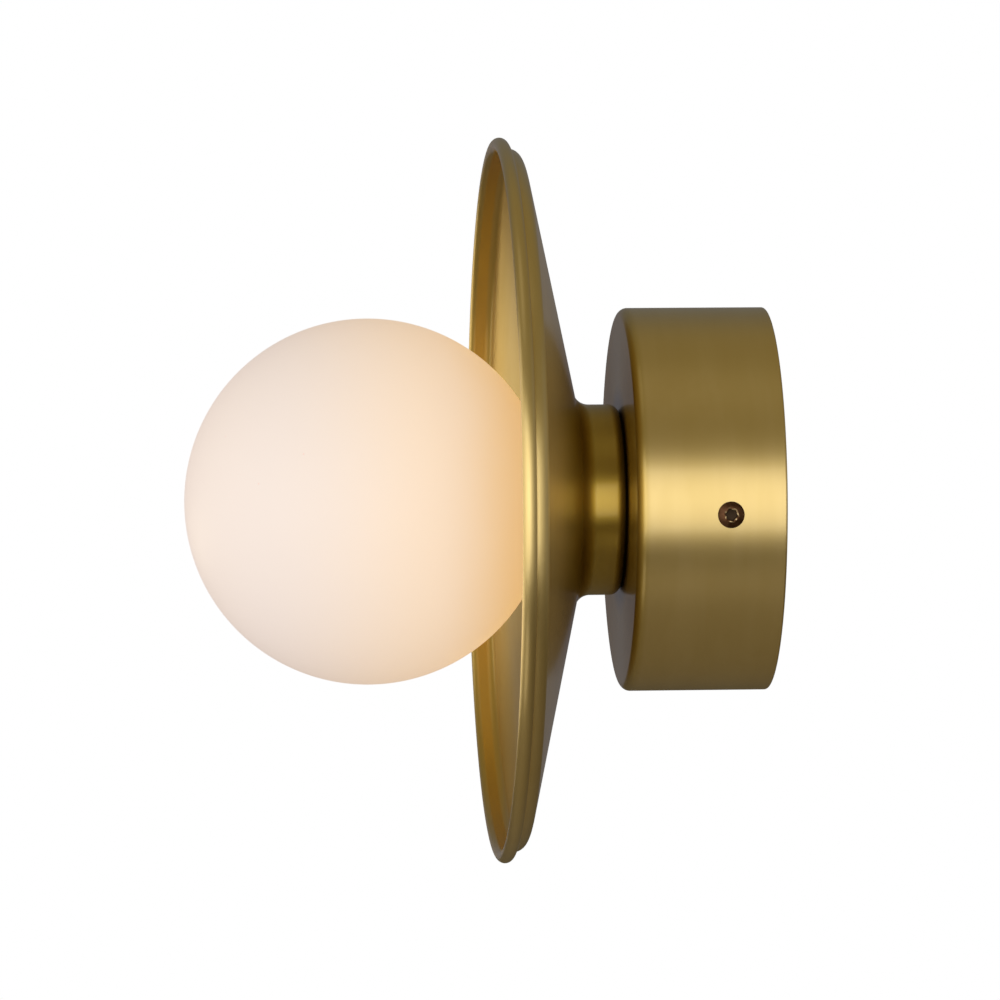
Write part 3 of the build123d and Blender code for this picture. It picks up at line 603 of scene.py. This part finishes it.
def makeDish():
    s = dishSize
    slope = math.tan(math.radians(s["coneDegrees"]))
    face, wall, hole = s["face"], s["wall"], s["hole"]
    sheetShift = wall / math.cos(math.radians(s["coneDegrees"]))
    rimInner, beadMiddle = s["radius"] - 2 * s["bead"], s["radius"] - s["bead"]
    rimOuter, cupInside = rimInner + wall, s["cupRadius"] - wall

    def cone(radius):
        return face + s["cupHeight"] + slope * (radius - s["cupRadius"])

    lip = cone(rimOuter) + s["lipHeight"]
    beadFoot = lip - math.sqrt(s["bead"]**2 - (beadMiddle - rimOuter)**2)
    run = roundedRun([(rimInner, lip, 0), (rimInner, cone(rimInner) + sheetShift, s["shoulder"] - wall),
                      (cupInside, cone(cupInside) + sheetShift, s["cupFillet"] + wall),
                      (cupInside, face + wall, s["cupCorner"] - wall), (hole, face + wall, s["ease"]),
                      (hole, face, s["ease"]), (s["cupRadius"], face, s["cupCorner"]),
                      (s["cupRadius"], cone(s["cupRadius"]), s["cupFillet"]),
                      (rimOuter, cone(rimOuter), s["shoulder"]), (rimOuter, beadFoot, 0)], s["lineSteps"])
    footAngle = math.degrees(math.atan2(beadFoot - lip, rimOuter - beadMiddle))
    bead = arcStretch((beadMiddle, lip), s["bead"], footAngle, 180)
    mesh = turnedMesh("brassDish", [bead] + run, s["columns"])
    addPiece("brassDish", mesh, "fixture", "dish_shade", spunBrass)


makeDish()


# The globe: ball, shoulder and neck of blown glass, with the thread's bead raised round the neck

globeSize = dict(radius=60.5, centre=131.999, glass=2.5, neck=20.0, bore=17.0, neckEnd=55.0, lip=0.8,
                 shoulder=23.5, shoulderStart=69.0, fillet=4.0, threadFoot=57.0, threadPitch=5.0,
                 threadTurns=1.5, threadBead=1.2, threadFade=0.06, onNeck=0.001, columns=288, ballStep=2.0,
                 lipStep=15.0, boreSteps=10, endSteps=2, threadSteps=60, ledgeSteps=4, shoulderSteps=6)


def threadSwell(radius, off, angle):
    # a half-round bead on the neck whose way off the wall grows evenly with the angle, from the neck's lowest
    # side; each column meets one or two turns, and the bead thins out at its ends
    s = globeSize
    share = np.mod(angle + math.pi / 2, 2 * math.pi) / (2 * math.pi)
    added = np.zeros_like(off)
    for turn in range(math.ceil(s["threadTurns"])):
        way = share + turn
        end = np.clip(np.minimum(way, s["threadTurns"] - way) / s["threadFade"], 0, 1)
        size = s["threadBead"] * np.sqrt(1 - (1 - end)**2)
        middle = s["threadFoot"] + s["threadPitch"] * way
        added = np.maximum(added, np.sqrt(np.maximum(size**2 - (off - middle)**2, 0)))
    return np.where(np.abs(radius - s["neck"]) < s["onNeck"], added, 0)


def makeGlobe():
    s = globeSize
    ball, hollow, fillet, lip = s["radius"], s["radius"] - s["glass"], s["fillet"], s["lip"]
    bore, neck, neckEnd = s["bore"], s["neck"], s["neckEnd"]
    shoulder, start = s["shoulder"], s["shoulderStart"]
    centre = (0, s["centre"])

    def easing(stem, sphere):
        # middle of the rounding that touches a ball and a stem, and its direction from the ball's middle
        middle = stem + fillet
        drop = math.sqrt((sphere + fillet)**2 - middle**2)
        return (middle, s["centre"] - drop), math.degrees(math.atan2(-drop, middle))

    boreEase, boreAngle = easing(bore, hollow)
    shoulderEase, shoulderAngle = easing(shoulder, ball)
    run = [arcStretch(centre, hollow, 90, boreAngle, s["ballStep"]),
           arcStretch(boreEase, fillet, 180 + boreAngle, 180),
           lineStretch((bore, boreEase[1]), (bore, neckEnd + lip), s["boreSteps"]),
           arcStretch((bore + lip, neckEnd + lip), lip, 180, 270, s["lipStep"]),
           lineStretch((bore + lip, neckEnd), (neck - lip, neckEnd), s["endSteps"]),
           arcStretch((neck - lip, neckEnd + lip), lip, 270, 360, s["lipStep"]),
           lineStretch((neck, neckEnd + lip), (neck, start), s["threadSteps"], even=True),
           lineStretch((neck, start), (shoulder - lip, start), s["ledgeSteps"]),
           arcStretch((shoulder - lip, start + lip), lip, 270, 360, s["lipStep"]),
           lineStretch((shoulder, start + lip), (shoulder, shoulderEase[1]), s["shoulderSteps"]),
           arcStretch(shoulderEase, fillet, 180, 180 + shoulderAngle),
           arcStretch(centre, ball, shoulderAngle, 90, s["ballStep"])]
    mesh = turnedMesh("opalGlobe", run, s["columns"], poles=True, swell=threadSwell)
    addPiece("opalGlobe", mesh, "globe_glass", "globe", opalGlass)


makeGlobe()


# The canopy screws: browned domed heads with a worn hexagon socket, one on each side of the canopy

screwSize = dict(seat=63.342, off=18.4, headRadius=4.3, edge=0.4, rise=1.5, socket=3.5, socketDepth=1.05,
                 bevel=0.4, bevelDrop=0.16, floorEase=0.12, floorShare=0.93, hollow=0.05, hollowShare=0.5,
                 shank=2.0, tip=-5.04, tipEase=0.4, tipInset=0.5, threadPitch=0.7, threadDepth=0.25,
                 threadRows=6, headEase=0.1, edgeEase=0.05, domeStart=0.06, domeRows=12, headWear=0.5,
                 crease=38, columns=96, turns=(12, 40))


def screwGrid(turn):
    # a turned screw along +x from its seat; its inner rows change from a circle to a hexagon,
    # whose reach is the half width over the cosine of the angle from the nearest side's middle
    s = screwSize
    angle = np.arange(s["columns"]) * (2 * math.pi / s["columns"])
    side = math.pi / 3
    hexagon = s["socket"] / 2 / np.cos(np.mod(angle + math.radians(turn), side) - side / 2)
    domeRise = s["rise"] - s["edge"]
    domeRadius = (s["headRadius"]**2 + domeRise**2) / (2 * domeRise)

    def dome(radius):
        return s["rise"] - domeRadius + np.sqrt(domeRadius**2 - radius**2)

    flat = np.ones_like(angle)
    heights = np.arange(s["tip"] + s["tipEase"], 0, s["threadPitch"] / s["threadRows"])
    waves = [np.abs(2 * np.mod(h / s["threadPitch"] - angle / (2 * math.pi), 1) - 1) for h in heights]
    rim = hexagon + s["bevel"]
    domeShares = np.linspace(s["domeStart"], 1, s["domeRows"])
    domeRadii = [s["headRadius"] + (rim - s["headRadius"]) * share for share in domeShares]
    floor = s["rise"] - s["socketDepth"]
    rows = [(flat * 0, flat * s["tip"]), (flat * (s["shank"] - s["tipInset"]), flat * s["tip"])]
    rows += [(s["shank"] - s["threadDepth"] * wave, flat * h) for wave, h in zip(waves, heights)]
    rows += [(flat * (s["shank"] - s["threadDepth"]), flat * 0),
             (flat * (s["headRadius"] - s["headEase"]), flat * 0),
             (flat * s["headRadius"], flat * s["headEase"]),
             (flat * s["headRadius"], flat * (s["edge"] - s["edgeEase"]))]
    rows += [(radius, dome(radius)) for radius in domeRadii]
    rows += [(hexagon, dome(rim) - s["bevelDrop"]), (hexagon, flat * (floor + s["floorEase"])),
             (hexagon * s["floorShare"], flat * floor),
             (hexagon * s["hollowShare"], flat * (floor - s["hollow"])),
             (flat * 0, flat * (floor - 2 * s["hollow"]))]
    radius, height = np.stack([r for r, _ in rows]), np.stack([h for _, h in rows])
    wearAndShade = np.full_like(radius, s["headWear"])
    wearAndShade[-6:-4] = 1  # the bevel's two rows are bare
    wearAndShade[-4:] = 0  # the socket below them is darkened with soot and painted shade
    points = np.stack([s["seat"] + height, radius * np.cos(angle) - s["off"], radius * np.sin(angle)], 2)
    return points * mm, wearAndShade


def makeScrews():
    # the same screw twice, the second turned half way round the lamp's axis
    s = screwSize
    columns = s["columns"]
    vertices, corners, share, along, wearAndShade = [], [], [], [], []
    for k, turn in enumerate(s["turns"]):
        grid, worn = screwGrid(turn)
        around = 2 * math.pi * k / len(s["turns"])
        cos, sin = math.cos(around), math.sin(around)
        x, y, z = grid[..., 0], grid[..., 1], grid[..., 2]
        grid = np.stack([x * cos - z * sin, y, x * sin + z * cos], 2)
        length = np.append(0, np.cumsum(np.linalg.norm(np.diff(grid[:, 0], axis=0), axis=1)))
        shares, alongs = cornerMap(length, len(grid) - 1, columns)
        points, faces = pinchPoles(grid.reshape(-1, 3), gridCorners(len(grid), columns, False), columns)
        corners.append(faces + sum(len(v) for v in vertices))
        vertices.append(points)
        share.append(shares)
        along.append(alongs)
        wearAndShade.append(worn.ravel()[columns - 1:worn.size - columns + 1])
    mesh = meshFrom("canopyScrewHeads", *[np.concatenate(a) for a in (vertices, corners, share, along)])
    worn = mesh.attributes.new("wearAndShade", "FLOAT", "POINT")
    worn.data.foreach_set("value", np.concatenate(wearAndShade).astype(np.float32))
    mesh.set_sharp_from_angle(angle=math.radians(s["crease"]))
    addPiece("canopyScrewHeads", mesh, "fixture", "canopy_screws", darkBronze)


makeScrews()


# Finishes of the solids that stay as they are

nodeFinish = {
    "zincSteel": ("wall_bracket", "stiffener_plate", "nipple", "rear_lock_washer", "rear_nut",
                  "front_lock_washer", "front_nut", "holder_bridge", "holder_screws", "terminal_screws",
                  "terminal_fixing_screw"),
    "nickel": ("holder_contacts", "earth_terminals", "bulb_pins"),
    "holderCeramic": ("lamp_holder",), "silicone": ("globe_gasket",), "whitePlastic": ("bulb_base",),
    "naturalNylon": ("terminal_block",), "blackNylon": ("wire_bush",), "brownLead": ("live_lead",),
    "blueLead": ("neutral_lead",),
}
ownFinish = {"gallery": turnedBrass, "terminal_clamps": turnedBrass, "earth_screws": turnedBrass,
             "bulb_envelope": bulbGlass, "led_column": ledStrip, "earth_lead": earthLead}
ownFinish.update({node: grainy[name] for name, nodes in nodeFinish.items() for node in nodes})
for node, finish in ownFinish.items():
    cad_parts[node].data.materials.clear()
    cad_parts[node].data.materials.append(finish)
print("finishes given to", len(ownFinish), "solids")


# Stage: a pale floor, the studio's light and the camera

plainWhite = (1, 1, 1, 1)
floorSize = dict(drop=1.2, reach=5.0, dim=(0.39, 0.365, 0.325, 1))


def makeFloor():
    # white where the camera sees it, a dim plain floor to the lamp's reflections, and clear from below
    reach, drop = floorSize["reach"], -floorSize["drop"]
    mesh = bpy.data.meshes.new("paleFloor")
    sides = ((-reach, -reach), (reach, -reach), (reach, reach), (-reach, reach))
    mesh.from_pydata([(x, y, drop) for x, y in sides], [], [(0, 1, 2, 3)])
    floor = newObject("paleFloor", mesh)
    material = bpy.data.materials.new("paleFloor")
    sheet = emptySheet(material)
    seen = sheet.add("ShaderNodeLightPath").outputs["Is Camera Ray"]
    dim = sheet.add("ShaderNodeBsdfDiffuse", {"Color": floorSize["dim"]}).outputs[0]
    white = sheet.add("ShaderNodeEmission", {"Color": plainWhite, "Strength": 1.0}).outputs[0]
    both = sheet.add("ShaderNodeMixShader", {0: seen, 1: dim, 2: white}).outputs[0]
    below = sheet.add("ShaderNodeNewGeometry").outputs["Backfacing"]
    clear = sheet.add("ShaderNodeBsdfTransparent").outputs[0]
    surface = sheet.add("ShaderNodeMixShader", {0: below, 1: both, 2: clear}).outputs[0]
    sheet.add("ShaderNodeOutputMaterial", {"Surface": surface})
    mesh.materials.append(material)


roomLook = dict(low=(0.122, 0.107, 0.073, 1), high=(0.23, 0.20, 0.122, 1), lowest=-0.9, highest=0.9,
                farLow=(0.165, 0.16, 0.175, 1), farHigh=(0.15, 0.15, 0.14, 1), farLowest=-0.05,
                farHighest=0.3, farStart=0.4, farEnd=0.95, wall=(0.25, 0.24, 0.22, 1), wallStart=0.8,
                wallEnd=0.99)


def makeRoom():
    # a dim warm room, lighter overhead, greyer on the far side and palest at the wall;
    # the camera itself sees plain white
    world = bpy.data.worlds.new("studioRoom")
    bpy.context.scene.world = world
    sheet = emptySheet(world)
    look, way = roomLook, sheet.parts(sheet.add("ShaderNodeTexCoord").outputs["Generated"])
    tone = sheet.mixed(sheet.span(way["Z"], look["lowest"], look["highest"]), look["low"], look["high"])
    away = sheet.maths("MULTIPLY", way["X"], -1.0)
    farShare = sheet.span(way["Z"], look["farLowest"], look["farHighest"])
    far = sheet.mixed(farShare, look["farLow"], look["farHigh"])
    tone = sheet.mixed(sheet.span(away, look["farStart"], look["farEnd"]), tone, far)
    tone = sheet.mixed(sheet.span(way["Y"], look["wallStart"], look["wallEnd"]), tone, look["wall"])
    room = sheet.add("ShaderNodeBackground", {"Color": tone}).outputs[0]
    white = sheet.add("ShaderNodeBackground", {"Color": plainWhite}).outputs[0]
    seen = sheet.add("ShaderNodeLightPath").outputs["Is Camera Ray"]
    both = sheet.add("ShaderNodeMixShader", {0: seen, 1: room, 2: white}).outputs[0]
    sheet.add("ShaderNodeOutputWorld", {"Surface": both})


panels = {
    "keyPanel": dict(distance=1.3, turn=-27.0, lift=4.7, width=2.9, height=1.08, power=12.4,
                     shape="RECTANGLE"),
    "keyCore": dict(distance=1.25, turn=-16.0, lift=5.0, width=0.5, height=0.5, power=0.35),
    "topPanel": dict(distance=1.4, turn=-42.0, lift=67.0, width=1.0, height=0.9, power=0.4,
                     colour=(1.0, 0.98, 0.94)),
    "wallSidePanel": dict(distance=1.3, turn=36.0, lift=2.0, width=1.0, height=1.0, power=0.95),
    "frontPanel": dict(distance=1.5, turn=-103.0, lift=-3.0, width=1.5, height=1.5, power=4.2,
                       colour=(1.0, 0.95, 0.87)),
    "lowPanel": dict(distance=1.3, turn=-34.0, lift=-42.0, width=1.1, height=0.6, power=0.9,
                     colour=(1.0, 0.97, 0.92)),
    "farPanel": dict(distance=1.5, turn=-136.0, lift=-11.5, width=0.75, height=0.37, power=1.1,
                     colour=(1.0, 0.92, 0.66)),
}
panelTarget = np.array((0, -0.09, 0))


def matrixFrom(right, up, back, place):
    return Matrix([[right[k], up[k], back[k], place[k]] for k in range(3)] + [[0, 0, 0, 1]])


def makePanel(name, distance, turn, lift, width, height, power, colour=(1.0, 1.0, 1.0), shape="ELLIPSE"):
    # a soft panel facing the lamp; turn goes from +x towards +y and lift above the level, in degrees
    data = bpy.data.lights.new(name, "AREA")
    data.shape = shape
    data.size, data.size_y = width, height
    data.energy = power
    data.color = colour
    panel = newObject(name, data)
    turn, lift = math.radians(turn), math.radians(lift)
    out = np.array([math.cos(turn) * math.cos(lift), math.sin(turn) * math.cos(lift), math.sin(lift)])
    across = np.array([-math.sin(turn), math.cos(turn), 0])
    panel.matrix_world = matrixFrom(across, np.cross(out, across), out, panelTarget + distance * out)
    panel.visible_camera = False


cameraView = dict(yaw=0.0787, lift=0.0822, roll=0.0018, focalPixels=6000, framePixels=1000, sensor=36.0,
                  right=39.4, up=0.17, pixelsPerMm=3.014, target=(0, -48.5, 0))


def makeCamera():
    # looks across the lamp from its right side; the target, the middle of the canopy's face, lies a little
    # right of the frame's middle
    s = cameraView
    yaw, lift, roll = s["yaw"], s["lift"], s["roll"]
    ahead = np.array([-math.cos(yaw) * math.cos(lift), math.sin(yaw) * math.cos(lift), -math.sin(lift)])
    level = np.array([math.sin(yaw), math.cos(yaw), 0])
    upright = np.array([-math.cos(yaw) * math.sin(lift), math.sin(yaw) * math.sin(lift), math.cos(lift)])
    right = math.cos(roll) * level - math.sin(roll) * upright
    up = math.sin(roll) * level + math.cos(roll) * upright
    depth = s["focalPixels"] / s["pixelsPerMm"]
    place = (np.array(s["target"]) - s["right"] * right - depth * ahead - s["up"] * up) * mm
    data = bpy.data.cameras.new("photoView")
    data.sensor_width = s["sensor"]
    data.lens = s["sensor"] * s["focalPixels"] / s["framePixels"]
    camera = newObject("photoView", data)
    camera.matrix_world = matrixFrom(right, up, -ahead, place)
    bpy.context.scene.camera = camera


makeFloor()
makeRoom()
for panelName, panel in panels.items():
    makePanel(panelName, **panel)
makeCamera()
bpy.context.scene.view_settings.view_transform = "Standard"
print("stage ready")
